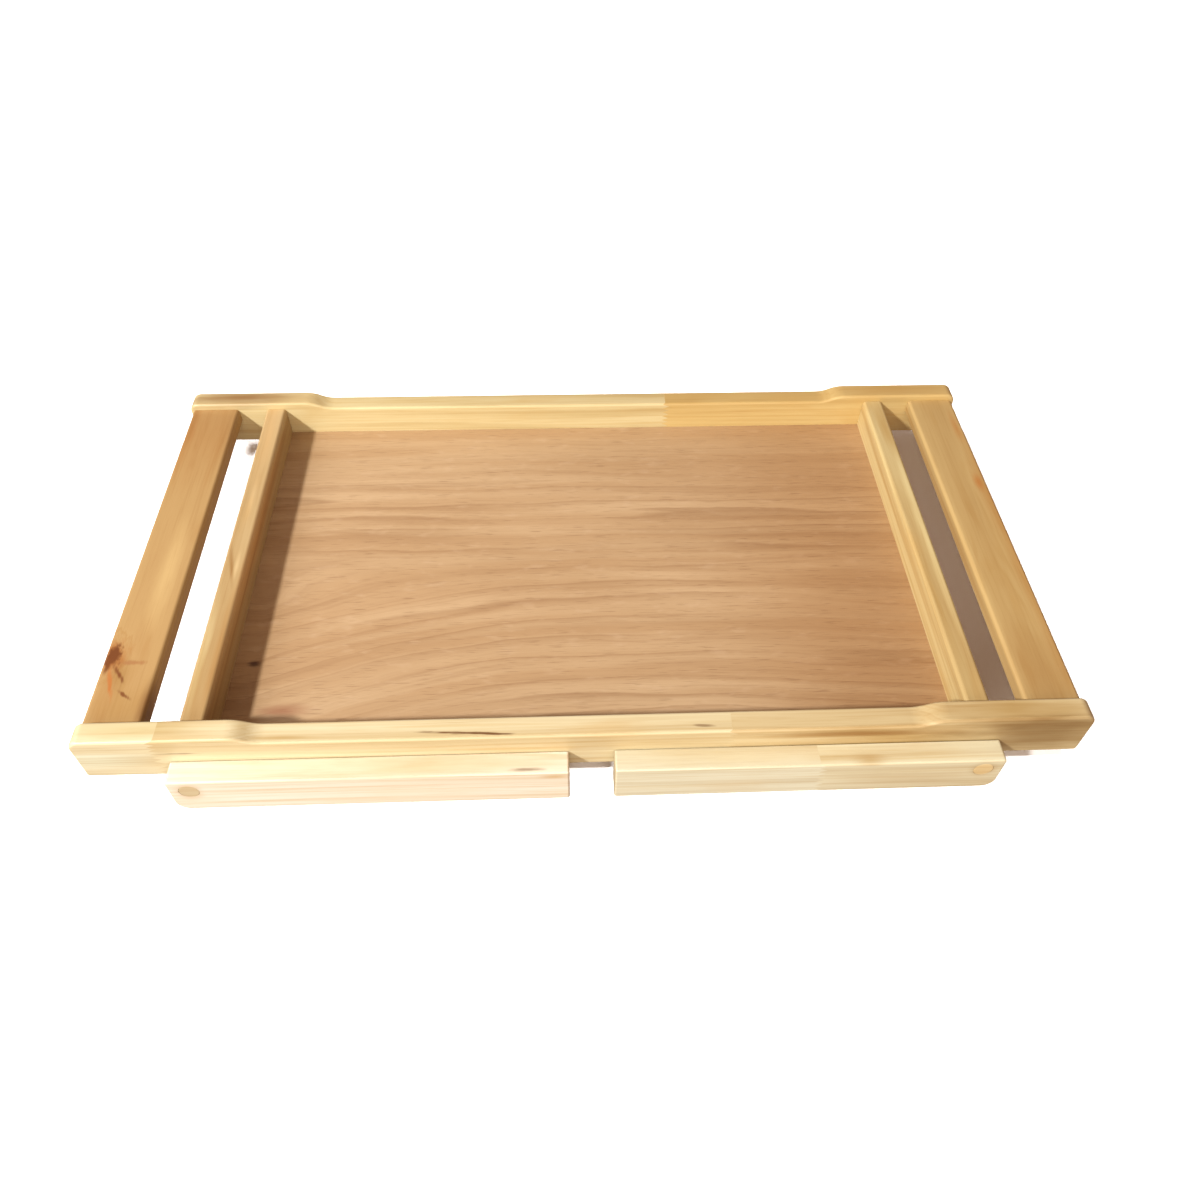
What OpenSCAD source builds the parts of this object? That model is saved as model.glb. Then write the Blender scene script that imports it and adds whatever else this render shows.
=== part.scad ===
// Wooden serving tray with two folding leg frames, drawn with the legs folded.
// Millimetres. X runs along the tray, Y from front to back, Z up.
// The origin is on the ground under the middle of the tray.

/* [Side rails] */
// Length of the side rails
tray_length = 600; // [480:5:720]
// Depth of the tray over its two side rails
tray_depth = 320; // [260:5:400]
// Thickness of the side rails and end rails
board_thickness = 15; // [13:0.5:20]
// Height of a side rail at its raised ends
rail_height = 36; // [34:0.5:50]
// How far the middle of a side rail dips below its ends
middle_dip = 5; // [2:0.5:8]
// Length of the curved step between a raised end and the middle
step_length = 22; // [14:1:40]
// Length of a raised end, from the rail's end to the step
raised_length = 88; // [70:1:120]
// Radius of a side rail's upper corners
rail_corner = 7; // [2:0.5:12]

/* [End rails and handles] */
// Distance from a side rail's end to the outer face of the end rail
end_rail_setback = 58.5; // [50:0.5:80]
// Distance from a side rail's end to the handle's outer edge
handle_inset = 2.5; // [0:0.5:10]
// Width of a handle bar
handle_width = 35; // [25:0.5:40]
// Thickness of a handle bar
handle_thickness = 12; // [10:0.5:18]
// Rounding of the long edges of handles, end rails and stop bars
edge_round = 2.5; // [1:0.5:4]

/* [Panel] */
// Thickness of the panel
panel_thickness = 4; // [3:0.5:6]
// Height of the panel's underside above the rails' lower edges
panel_raise = 4; // [3:0.5:8]
// Depth of the grooves that hold the panel
groove_depth = 6; // [4:0.5:7]

/* [Legs] */
// Height of a folded leg board
leg_height = 30; // [24:0.5:40]
// Thickness of a leg board
leg_thickness = 14.5; // [12:0.5:20]
// Distance from a side rail's end to the nose of a folded leg
leg_setback = 52.5; // [30:0.5:80]
// Gap between the free ends of two folded legs
leg_end_gap = 27; // [10:1:60]
// How far a folded leg stands up beside the side rail
leg_overlap = 15; // [12:0.5:24]
// Radius of the lower corner of a leg's nose
nose_radius = 8; // [2:0.5:12]
// Distance from a leg's nose to its pivot
pivot_from_nose = 12; // [10:0.5:20]
// Distance from a folded leg's upper edge to its pivot
pivot_from_top = 9.5; // [8:0.5:14]

/* [Leg frames] */
// Width of a stop bar
stop_bar_width = 25; // [16:1:40]
// Thickness of a stop bar
stop_bar_thickness = 12; // [8:0.5:13]
// Diameter of a foot rung
rung_diameter = 10; // [8:0.5:12]
// Distance from a leg's foot to its rung
rung_from_foot = 45; // [20:1:120]

/* [Pivot screws] */
// Diameter of the smooth shank that the leg turns on
shank_diameter = 5; // [4:0.5:6]
// Diameter of the threaded end, drawn as a plain cylinder
thread_diameter = 4; // [3:0.5:5]
// Length of the threaded end inside the side rail
thread_length = 11; // [8:0.5:12]
// Diameter of the screw head
head_diameter = 9.5; // [8:0.5:11]
// Height of the screw head
head_height = 3; // [2:0.5:4]
// Width across the flats of the socket in the screw head
socket_width = 3; // [2:0.5:4]
// Diameter of the wooden plug over the screw head
plug_diameter = 12; // [11:0.5:14]
// Thickness of the wooden plug
plug_thickness = 4; // [3:0.5:5]

/* [Dowels] */
// Diameter of the hidden dowels
dowel_diameter = 6; // [5:0.5:8]
// Depth of a dowel's hole in a side rail or leg
dowel_face_depth = 10; // [8:0.5:11]
// Depth of a dowel's hole in the end of a cross piece
dowel_end_depth = 20; // [15:1:30]

/* [Hidden] */
// Facets used to draw round shapes
round_steps = 96;
// Gap round a glued dowel, rung, plug or panel edge
glue_gap = 0.05;
// Gap left at the bottom of a blind hole
hole_end_gap = 0.5;
// Gap between a screw shank and the leg that turns on it
shank_gap = 0.05;
// Gap between a side rail's outer face and the leg beside it
leg_side_gap = 0.5;
// Thickness of the washer in that gap
washer_thickness = 0.4;
// Gap between a screw head and the leg under it
head_gap = 0.1;
// Gap between a screw head and the plug over it
plug_gap = 0.7;
// Gap between the open stop bar and the side rails
stop_gap = 0.2;
// Gap between the folded bars and the side rails above them
fold_gap = 0.5;
// Radius of the upper corner of a leg's nose
nose_top_radius = 2;
// How far cutting shapes run past a face
cut_past = 1;

half_length = tray_length / 2;
half_depth = tray_depth / 2;
inner_half_depth = half_depth - board_thickness;
rail_bottom = leg_height - leg_overlap;
middle_height = rail_height - middle_dip;
deck_top = rail_bottom + middle_height;

step_outer_x = half_length - raised_length;
step_inner_x = step_outer_x - step_length;
step_middle_x = (step_outer_x + step_inner_x) / 2;
step_radius = (middle_dip * middle_dip + step_length * step_length) / (4 * middle_dip);

end_rail_outer_x = half_length - end_rail_setback;
end_rail_inner_x = end_rail_outer_x - board_thickness;
end_rail_middle_x = (end_rail_outer_x + end_rail_inner_x) / 2;
handle_outer_x = half_length - handle_inset;
handle_inner_x = handle_outer_x - handle_width;
handle_bottom = deck_top - handle_thickness;

panel_bottom = rail_bottom + panel_raise;
panel_top = panel_bottom + panel_thickness;
panel_half_length = end_rail_inner_x + groove_depth - hole_end_gap;
panel_half_depth = inner_half_depth + groove_depth - hole_end_gap;

nose_x = half_length - leg_setback;
foot_x = leg_end_gap / 2;
leg_length = nose_x - foot_x;
pivot_x = nose_x - pivot_from_nose;
pivot_z = leg_height - pivot_from_top;
leg_inner_y = half_depth + leg_side_gap;
leg_outer_y = leg_inner_y + leg_thickness;
plug_hole_depth = plug_thickness + plug_gap + head_height + head_gap;
head_under_y = leg_outer_y - plug_hole_depth + head_gap;
head_top_y = head_under_y + head_height;

stop_bar_outer_x = pivot_x - (pivot_z - rail_bottom) - stop_gap;
stop_bar_inner_x = stop_bar_outer_x - stop_bar_width;
stop_bar_top = rail_bottom - fold_gap;
stop_bar_bottom = stop_bar_top - stop_bar_thickness;
rung_x = foot_x + rung_from_foot;
rung_z = rail_bottom - fold_gap - rung_diameter / 2;

// Heights and spacings of the dowels
end_rail_dowel_low = panel_top + dowel_diameter;
end_rail_dowel_high = deck_top - dowel_diameter;
handle_dowel_z = deck_top - handle_thickness / 2;
handle_dowel_inner_x = handle_inner_x + handle_width / 4;
handle_dowel_outer_x = handle_outer_x - handle_width / 4;
stop_bar_dowel_z = (stop_bar_bottom + stop_bar_top) / 2;
stop_bar_dowel_inner_x = stop_bar_inner_x + stop_bar_width / 4;
stop_bar_dowel_outer_x = stop_bar_outer_x - stop_bar_width / 4;

rail_wood = [0.90, 0.80, 0.58];
handle_wood = [0.78, 0.62, 0.38];
panel_wood = [0.72, 0.53, 0.36];
leg_wood = [0.92, 0.84, 0.66];
rung_wood = [0.86, 0.74, 0.52];
plug_wood = [0.86, 0.72, 0.46];
dowel_wood = [0.80, 0.66, 0.46];
screw_steel = [0.62, 0.63, 0.65];

// Which part to draw

// A bar with rounded long edges, lying along Y across the whole given depth
module rounded_bar(low_x, high_x, low_z, high_z, half_span, radius) {
    translate([0, half_span, 0])
        rotate([90, 0, 0])
            linear_extrude(height = 2 * half_span)
                rounded_section(low_x, high_x, low_z, high_z, radius);
}

// A rectangle with four rounded corners
module rounded_section(low_x, high_x, low_z, high_z, radius) {
    difference() {
        translate([low_x, low_z])
            square([high_x - low_x, high_z - low_z]);
        corner_cut(high_x, high_z, radius, 1, 1);
        corner_cut(high_x, low_z, radius, 1, -1);
        corner_cut(low_x, high_z, radius, -1, 1);
        corner_cut(low_x, low_z, radius, -1, -1);
    }
}

// What is taken off a corner to round it; the two signs point out of the corner
module corner_cut(corner_x, corner_z, radius, sign_x, sign_z) {
    translate([corner_x, corner_z])
        mirror([sign_x < 0 ? 1 : 0, 0])
            mirror([0, sign_z < 0 ? 1 : 0])
                difference() {
                    translate([-radius, -radius])
                        square([radius + cut_past, radius + cut_past]);
                    translate([-radius, -radius])
                        circle(r = radius, $fn = round_steps);
                }
}

// Half of the dip in a side rail's upper edge, seen from the front
module half_dip() {
    translate([-cut_past, middle_height])
        square([step_inner_x + cut_past, middle_dip + cut_past]);
    intersection() {
        translate([step_inner_x, middle_height + step_radius])
            circle(r = step_radius, $fn = round_steps);
        translate([step_inner_x - cut_past, middle_height])
            square([step_length / 2 + cut_past, middle_dip + cut_past]);
    }
    difference() {
        translate([step_middle_x, rail_height - middle_dip / 2])
            square([step_length / 2, middle_dip / 2 + cut_past]);
        translate([step_outer_x, rail_height - step_radius])
            circle(r = step_radius, $fn = round_steps);
    }
}

// The outline of a side rail, seen from the front
module rail_outline() {
    difference() {
        translate([-half_length, 0])
            square([tray_length, rail_height]);
        half_dip();
        mirror([1, 0])
            half_dip();
        corner_cut(half_length, rail_height, rail_corner, 1, 1);
        corner_cut(-half_length, rail_height, rail_corner, -1, 1);
    }
}

// A cylinder along Y from a low to a high Y
module rod(centre_x, centre_z, low_y, high_y, diameter) {
    translate([centre_x, high_y, centre_z])
        rotate([90, 0, 0])
            cylinder(h = high_y - low_y, d = diameter, $fn = round_steps);
}

// The holes in the back rail's inner and outer faces at its right end
module rail_holes() {
    hole = dowel_diameter + 2 * glue_gap;
    low = inner_half_depth - cut_past;
    high = inner_half_depth + dowel_face_depth;
    rod(end_rail_middle_x, end_rail_dowel_low, low, high, hole);
    rod(end_rail_middle_x, end_rail_dowel_high, low, high, hole);
    rod(handle_dowel_inner_x, handle_dowel_z, low, high, hole);
    rod(handle_dowel_outer_x, handle_dowel_z, low, high, hole);
    screw_hole = thread_diameter + 2 * glue_gap;
    screw_low = half_depth - thread_length - hole_end_gap;
    rod(pivot_x, pivot_z, screw_low, half_depth + cut_past, screw_hole);
}

// The back rail in its place; the front rail is its mirror image
module side_rail() {
    difference() {
        translate([0, half_depth, rail_bottom])
            rotate([90, 0, 0])
                linear_extrude(height = board_thickness)
                    rail_outline();
        rail_groove();
        rail_holes();
        mirror([1, 0, 0])
            rail_holes();
    }
}

// The groove in the back rail that holds the panel's edge
module rail_groove() {
    groove_half_length = end_rail_inner_x + groove_depth;
    translate([-groove_half_length, inner_half_depth - cut_past, panel_bottom - glue_gap])
        cube([2 * groove_half_length, groove_depth + cut_past, panel_thickness + 2 * glue_gap]);
}

module front_rail() {
    color(rail_wood)
        mirror([0, 1, 0])
            side_rail();
}

module back_rail() {
    color(rail_wood)
        side_rail();
}

// The right end rail in its place; the left one is its mirror image
module end_rail() {
    difference() {
        rounded_bar(end_rail_inner_x, end_rail_outer_x, rail_bottom, deck_top, inner_half_depth, edge_round);
        end_rail_groove();
        end_rail_holes();
        mirror([0, 1, 0])
            end_rail_holes();
    }
}

// The groove in the right end rail that holds the panel's edge
module end_rail_groove() {
    groove_half_depth = inner_half_depth + cut_past;
    translate([end_rail_inner_x - cut_past, -groove_half_depth, panel_bottom - glue_gap])
        cube([groove_depth + cut_past, 2 * groove_half_depth, panel_thickness + 2 * glue_gap]);
}

// The two dowel holes in the back end of the right end rail
module end_rail_holes() {
    hole = dowel_diameter + 2 * glue_gap;
    low = inner_half_depth - dowel_end_depth;
    high = inner_half_depth + cut_past;
    rod(end_rail_middle_x, end_rail_dowel_low, low, high, hole);
    rod(end_rail_middle_x, end_rail_dowel_high, low, high, hole);
}

module right_end_rail() {
    color(rail_wood)
        end_rail();
}

module left_end_rail() {
    color(rail_wood)
        mirror([1, 0, 0])
            end_rail();
}

// The right handle bar in its place; the left one is its mirror image
module handle_bar() {
    difference() {
        rounded_bar(handle_inner_x, handle_outer_x, handle_bottom, deck_top, inner_half_depth, edge_round);
        handle_holes();
        mirror([0, 1, 0])
            handle_holes();
    }
}

// The two dowel holes in the back end of the right handle bar
module handle_holes() {
    hole = dowel_diameter + 2 * glue_gap;
    low = inner_half_depth - dowel_end_depth;
    high = inner_half_depth + cut_past;
    rod(handle_dowel_inner_x, handle_dowel_z, low, high, hole);
    rod(handle_dowel_outer_x, handle_dowel_z, low, high, hole);
}

module right_handle() {
    color(handle_wood)
        handle_bar();
}

module left_handle() {
    color(handle_wood)
        mirror([1, 0, 0])
            handle_bar();
}

module base_panel() {
    color(panel_wood)
        translate([-panel_half_length, -panel_half_depth, panel_bottom])
            cube([2 * panel_half_length, 2 * panel_half_depth, panel_thickness]);
}

// The outline of a right leg, seen from the front
module leg_outline() {
    difference() {
        translate([foot_x, 0])
            square([leg_length, leg_height]);
        corner_cut(nose_x, 0, nose_radius, 1, -1);
        corner_cut(nose_x, leg_height, nose_top_radius, 1, 1);
    }
}

// The right back leg in its place; the other legs are its mirror images
module leg() {
    peg_hole = dowel_diameter + 2 * glue_gap;
    face = leg_inner_y - cut_past;
    difference() {
        translate([0, leg_outer_y, 0])
            rotate([90, 0, 0])
                linear_extrude(height = leg_thickness)
                    leg_outline();
        rod(pivot_x, pivot_z, face, leg_outer_y, shank_diameter + 2 * shank_gap);
        rod(pivot_x, pivot_z, leg_outer_y - plug_hole_depth, leg_outer_y + cut_past, plug_diameter + 2 * glue_gap);
        rod(rung_x, rung_z, face, leg_inner_y + dowel_face_depth, rung_diameter + 2 * glue_gap);
        rod(stop_bar_dowel_inner_x, stop_bar_dowel_z, face, leg_inner_y + dowel_face_depth, peg_hole);
        rod(stop_bar_dowel_outer_x, stop_bar_dowel_z, face, leg_inner_y + dowel_face_depth, peg_hole);
    }
}

module right_back_leg() {
    color(leg_wood)
        leg();
}

module right_front_leg() {
    color(leg_wood)
        mirror([0, 1, 0])
            leg();
}

module left_back_leg() {
    color(leg_wood)
        mirror([1, 0, 0])
            leg();
}

module left_front_leg() {
    color(leg_wood)
        mirror([1, 0, 0])
            mirror([0, 1, 0])
                leg();
}

// The right stop bar in its place; it comes up against the rails when the legs are open
module stop_bar() {
    difference() {
        rounded_bar(stop_bar_inner_x, stop_bar_outer_x, stop_bar_bottom, stop_bar_top, leg_inner_y, edge_round);
        stop_bar_holes();
        mirror([0, 1, 0])
            stop_bar_holes();
    }
}

// The two dowel holes in the back end of the right stop bar
module stop_bar_holes() {
    hole = dowel_diameter + 2 * glue_gap;
    low = leg_inner_y - dowel_end_depth;
    high = leg_inner_y + cut_past;
    rod(stop_bar_dowel_inner_x, stop_bar_dowel_z, low, high, hole);
    rod(stop_bar_dowel_outer_x, stop_bar_dowel_z, low, high, hole);
}

module right_stop_bar() {
    color(rung_wood)
        stop_bar();
}

module left_stop_bar() {
    color(rung_wood)
        mirror([1, 0, 0])
            stop_bar();
}

// The right foot rung in its place, its ends inside the legs
module foot_rung() {
    reach = leg_inner_y + dowel_face_depth - hole_end_gap;
    rod(rung_x, rung_z, -reach, reach, rung_diameter);
}

module right_foot_rung() {
    color(rung_wood)
        foot_rung();
}

module left_foot_rung() {
    color(rung_wood)
        mirror([1, 0, 0])
            foot_rung();
}

// The right back pivot screw in its place, its shoulder against the side rail
module pivot_screw() {
    difference() {
        union() {
            rod(pivot_x, pivot_z, half_depth - thread_length, half_depth + cut_past, thread_diameter);
            rod(pivot_x, pivot_z, half_depth, head_under_y + cut_past, shank_diameter);
            rod(pivot_x, pivot_z, head_under_y, head_top_y, head_diameter);
        }
        translate([pivot_x, head_top_y + cut_past, pivot_z])
            rotate([90, 0, 0])
                cylinder(h = head_height / 2 + cut_past, d = socket_width / cos(30), $fn = 6);
    }
}

// The right back washer in its place, round the screw's shank
module pivot_washer() {
    difference() {
        rod(pivot_x, pivot_z, half_depth, half_depth + washer_thickness, plug_diameter);
        rod(pivot_x, pivot_z, half_depth - cut_past, half_depth + cut_past, shank_diameter + 2 * glue_gap);
    }
}

// The right back plug in its place, flush with the leg's outer face
module pivot_plug() {
    rod(pivot_x, pivot_z, leg_outer_y - plug_thickness, leg_outer_y, plug_diameter);
}

// Draws its children at the back and again at the front
module front_and_back() {
    children();
    mirror([0, 1, 0])
        children();
}

// Draws its children at all four corners
module four_corners() {
    front_and_back()
        children();
    mirror([1, 0, 0])
        front_and_back()
            children();
}

module pivot_screws() {
    color(screw_steel)
        four_corners()
            pivot_screw();
}

module pivot_washers() {
    color(screw_steel)
        four_corners()
            pivot_washer();
}

module right_pivot_plugs() {
    color(plug_wood)
        front_and_back()
            pivot_plug();
}

module left_pivot_plugs() {
    color(plug_wood)
        mirror([1, 0, 0])
            front_and_back()
                pivot_plug();
}

// A dowel along Y across the joint at the given Y
module dowel(centre_x, centre_z, joint_y) {
    low = joint_y - dowel_end_depth + hole_end_gap;
    high = joint_y + dowel_face_depth - hole_end_gap;
    rod(centre_x, centre_z, low, high, dowel_diameter);
}

// The four dowels of the right end rail
module end_rail_dowels() {
    front_and_back() {
        dowel(end_rail_middle_x, end_rail_dowel_low, inner_half_depth);
        dowel(end_rail_middle_x, end_rail_dowel_high, inner_half_depth);
    }
}

// The four dowels of the right handle bar
module handle_dowels() {
    front_and_back() {
        dowel(handle_dowel_inner_x, handle_dowel_z, inner_half_depth);
        dowel(handle_dowel_outer_x, handle_dowel_z, inner_half_depth);
    }
}

// The four dowels of the right stop bar
module stop_bar_dowels() {
    front_and_back() {
        dowel(stop_bar_dowel_inner_x, stop_bar_dowel_z, leg_inner_y);
        dowel(stop_bar_dowel_outer_x, stop_bar_dowel_z, leg_inner_y);
    }
}

module right_end_rail_dowels() {
    color(dowel_wood)
        end_rail_dowels();
}

module left_end_rail_dowels() {
    color(dowel_wood)
        mirror([1, 0, 0])
            end_rail_dowels();
}

module right_handle_dowels() {
    color(dowel_wood)
        handle_dowels();
}

module left_handle_dowels() {
    color(dowel_wood)
        mirror([1, 0, 0])
            handle_dowels();
}

module right_stop_bar_dowels() {
    color(dowel_wood)
        stop_bar_dowels();
}

module left_stop_bar_dowels() {
    color(dowel_wood)
        mirror([1, 0, 0])
            stop_bar_dowels();
}

front_rail();
back_rail();
left_end_rail();
right_end_rail();
left_handle();
right_handle();
base_panel();
left_front_leg();
left_back_leg();
right_front_leg();
right_back_leg();
left_stop_bar();
right_stop_bar();
left_foot_rung();
right_foot_rung();
pivot_screws();
pivot_washers();
left_pivot_plugs();
right_pivot_plugs();
left_end_rail_dowels();
right_end_rail_dowels();
left_handle_dowels();
right_handle_dowels();
left_stop_bar_dowels();
right_stop_bar_dowels();
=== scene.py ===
"""A wooden serving tray with folding legs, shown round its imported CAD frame. Metres, row frame."""

import math

import bmesh
import bpy
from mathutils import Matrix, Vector


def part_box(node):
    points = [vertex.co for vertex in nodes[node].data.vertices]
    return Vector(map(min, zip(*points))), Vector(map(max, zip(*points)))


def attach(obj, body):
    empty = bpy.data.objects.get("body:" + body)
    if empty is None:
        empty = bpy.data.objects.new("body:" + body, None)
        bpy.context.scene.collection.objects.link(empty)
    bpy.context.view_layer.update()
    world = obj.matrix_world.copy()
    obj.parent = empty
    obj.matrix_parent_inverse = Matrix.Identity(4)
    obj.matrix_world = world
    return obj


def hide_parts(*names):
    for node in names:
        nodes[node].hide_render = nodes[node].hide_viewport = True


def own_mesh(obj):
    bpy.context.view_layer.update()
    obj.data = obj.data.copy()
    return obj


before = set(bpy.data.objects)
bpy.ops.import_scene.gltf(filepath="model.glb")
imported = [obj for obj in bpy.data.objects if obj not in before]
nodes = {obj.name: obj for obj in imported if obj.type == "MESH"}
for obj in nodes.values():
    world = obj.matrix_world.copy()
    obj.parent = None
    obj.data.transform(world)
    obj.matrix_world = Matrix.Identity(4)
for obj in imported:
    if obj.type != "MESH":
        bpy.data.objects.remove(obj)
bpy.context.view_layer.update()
scene = bpy.context.scene
MM = 0.001

# ---------------------------------------------------------------- camera

camera_data = bpy.data.cameras.new("camera")
camera = bpy.data.objects.new("camera", camera_data)
scene.collection.objects.link(camera)
scene.camera = camera
camera.location = (-0.0157, -0.4691, 0.5301)
camera.rotation_euler = (0.70664, -0.01598, -0.04106)
camera_data.sensor_width = 36.0
camera_data.lens = 29.30
camera_data.clip_start = 0.01
camera_data.clip_end = 50.0

# ---------------------------------------------------------------- shader graphs


class Graph:
    """Short names for building one material's nodes."""

    def __init__(self, name):
        self.material = bpy.data.materials.new(name)
        self.material.use_nodes = True
        self.tree = self.material.node_tree
        self.tree.nodes.clear()
        self.output = self.tree.nodes.new("ShaderNodeOutputMaterial")
        self.shader = self.tree.nodes.new("ShaderNodeBsdfPrincipled")
        self.tree.links.new(self.shader.outputs[0], self.output.inputs[0])

    def put(self, socket, value):
        """Links a socket, or sets it to a number or vector."""
        if isinstance(value, bpy.types.NodeSocket):
            self.tree.links.new(value, socket)
        elif value is not None:
            socket.default_value = value

    def node(self, kind, **props):
        made = self.tree.nodes.new("ShaderNode" + kind)
        for key, value in props.items():
            setattr(made, key, value)
        return made

    def math(self, operation, a, b=None):
        made = self.node("Math", operation=operation)
        for socket, value in zip(made.inputs, (a, b)):
            self.put(socket, value)
        return made.outputs[0]

    def add(self, a, b):
        return self.math("ADD", a, b)

    def less(self, a, b):
        return self.math("SUBTRACT", a, b)

    def times(self, a, b):
        return self.math("MULTIPLY", a, b)

    def sway(self, noise, reach):
        """Noise about its middle, times a reach."""
        return self.times(self.less(noise, 0.5), reach)

    def vector(self, operation, a, b=None):
        made = self.node("VectorMath", operation=operation)
        for socket, value in zip(made.inputs, (a, b)):
            self.put(socket, value)
        return made.outputs["Value" if operation in ("LENGTH", "DOT_PRODUCT") else "Vector"]

    def combine(self, x, y, z):
        made = self.node("CombineXYZ")
        for socket, value in zip(made.inputs, (x, y, z)):
            self.put(socket, value)
        return made.outputs[0]

    def split(self, vector):
        made = self.node("SeparateXYZ")
        self.put(made.inputs[0], vector)
        return made.outputs[0], made.outputs[1], made.outputs[2]

    def noise(self, vector, detail=2.0, roughness=0.5):
        """Fractal noise at scale 1, so that the vector's own units set its size."""
        made = self.node("TexNoise")
        self.put(made.inputs["Vector"], vector)
        made.inputs["Scale"].default_value = 1.0
        made.inputs["Detail"].default_value = detail
        made.inputs["Roughness"].default_value = roughness
        return made.outputs["Fac"]

    def grain(self, place, scales, detail=2.0, roughness=0.5):
        """Noise with its own scale along, across and up, per metre."""
        return self.noise(self.vector("MULTIPLY", place, scales), detail, roughness)

    def fit(self, value, low, high, to_low=0.0, to_high=1.0, smooth=True):
        """The value taken from low..high to to_low..to_high, held at both ends."""
        made = self.node("MapRange", interpolation_type="SMOOTHSTEP" if smooth else "LINEAR")
        for socket, v in zip(made.inputs, (value, low, high, to_low, to_high)):
            self.put(socket, v)
        return made.outputs[0]

    def mix(self, share, a, b, blend="MIX"):
        made = self.node("Mix", data_type="RGBA", blend_type=blend)
        self.put(made.inputs[0], share)
        self.put(made.inputs[6], colour(a))
        self.put(made.inputs[7], colour(b))
        return made.outputs[2]

    def darker(self, share, tone, factor):
        """A colour, multiplied by a factor as far as the share goes."""
        return self.mix(share, tone, self.mix(1.0, tone, factor, "MULTIPLY"))

    def scaled(self, vector, share):
        """A fixed vector times a socket."""
        made = self.node("VectorMath", operation="SCALE")
        made.inputs[0].default_value = vector
        self.put(made.inputs["Scale"], share)
        return made.outputs[0]

    def ramp(self, value, stops):
        """A grey ramp through (place, height) stops."""
        made = self.node("ValToRGB")
        ramp = made.color_ramp
        while len(ramp.elements) < len(stops):
            ramp.elements.new(0.5)
        for element, (place, height) in zip(ramp.elements, stops):
            element.position = place
            element.color = (height, height, height, 1.0)
        self.put(made.inputs[0], value)
        return made.outputs[0]


def colour(value):
    """A colour with its alpha, or a socket as it is."""
    if isinstance(value, bpy.types.NodeSocket):
        return value
    return (*value, 1.0) if len(value) == 3 else value


TOOTH, TOOTH_LENGTH = 1.9, 2.6  # half a finger joint's pitch, and its teeth's length per height
JOINT_BLUR = 0.2
SEED_MOVE = (1.37, 0.219, 0.173)  # metres along, across and up for each whole seed
JOINT_MOVE, NEXT_JOINT = (0.37, 0.053, 0.031), 0.11  # metres


def grain_frame(g, along, seed, joints):
    """A board's own frame: along the grain, across it and up, in metres.

    Returns it as it is, and moved by a seed with a jump at each finger joint, and a 0 to 1 step
    for each joint.
    """
    x, y, z = g.split(g.node("TexCoord").outputs["Object"])
    u, v = (x, y) if along == "X" else (y, x)
    plain = g.combine(u, v, z)
    moved = g.vector("ADD", plain, [seed * share for share in SEED_MOVE])
    steps = []
    for index, place in enumerate(joints):
        teeth = g.times(g.math("PINGPONG", g.add(z, 0.5), TOOTH * MM), TOOTH_LENGTH)
        before, after = place - JOINT_BLUR * MM, place + JOINT_BLUR * MM
        step = g.fit(g.add(u, teeth), before, after, smooth=False)
        steps.append(step)
        jump = (JOINT_MOVE[0] + index * NEXT_JOINT, *JOINT_MOVE[1:])
        moved = g.vector("ADD", moved, g.scaled(jump, step))
    return plain, moved, steps


# noise scales along, across and up a board, per metre
SLOW_BEND, FINE_BEND = (2.6, 15.0, 15.0), (11.0, 90.0, 90.0)
FIBRES, HAIRS = (14.0, 640.0, 640.0), (70.0, 2600.0, 2600.0)
MOTTLES, DRIFTS = (13.0, 48.0, 48.0), (3.5, 14.0, 14.0)
MARK_EDGES, STAIN_AND_SHADE_EDGES = (60.0, 420.0, 420.0), (14.0, 90.0, 90.0)
HALO_EDGES, CORE_EDGES = (90.0, 160.0, 160.0), (150.0, 230.0, 230.0)


def spot(g, plain, moved, centre, reach, ragged=0.8, edges=MARK_EDGES, hard=0.2, slant=0.0):
    """A 0 to 1 ragged patch round a centre, reaching this far along, across and up. Millimetres.

    slant is how far it drifts across per length.
    """
    away = g.vector("SUBTRACT", plain, [c * MM for c in centre])
    if slant:
        du, dv, dw = g.split(away)
        away = g.combine(du, g.less(dv, g.times(du, slant)), dw)
    away = g.vector("MULTIPLY", away, [1 / (r * MM) for r in reach])
    torn = g.grain(moved, edges, 3.0, 0.6)
    far = g.add(g.vector("LENGTH", away), g.sway(torn, ragged * 2))
    return g.fit(far, 1.0, hard)


# colour factors of a board's darker parts, and a knot's own colour
LINE_SHADE, RING_SHADE, DRIFT_SHADE = (0.84, 0.72, 0.54), (0.72, 0.56, 0.38), (0.94, 0.88, 0.76)
FIBRE_SHADE, HAIR_SHADE, END_SHADE = (0.80, 0.70, 0.57), (0.78, 0.68, 0.56), (0.78, 0.67, 0.52)
KNOT_SHADE, KNOT_CORE = (0.84, 0.46, 0.20), (0.13, 0.036, 0.005)
RING_PROFILE = [(0.0, 0.0), (0.40, 0.05), (0.80, 0.55), (0.91, 1.0), (0.97, 0.35), (1.0, 0.0)]
WANDER, SHIVER = 9.0, 1.4  # how far slow and fine bends move a ring, in millimetres
ZONES, RINGS = 0.75, 0.30  # strengths
JOINT_SHIFT = (0.021, 0.013)  # how far the pith moves across and up at a joint, in metres
WOOD_ROUGHNESS = (0.34, 0.48)
WOOD_RELIEF, WOOD_COAT = 0.03, 0.10


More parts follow.
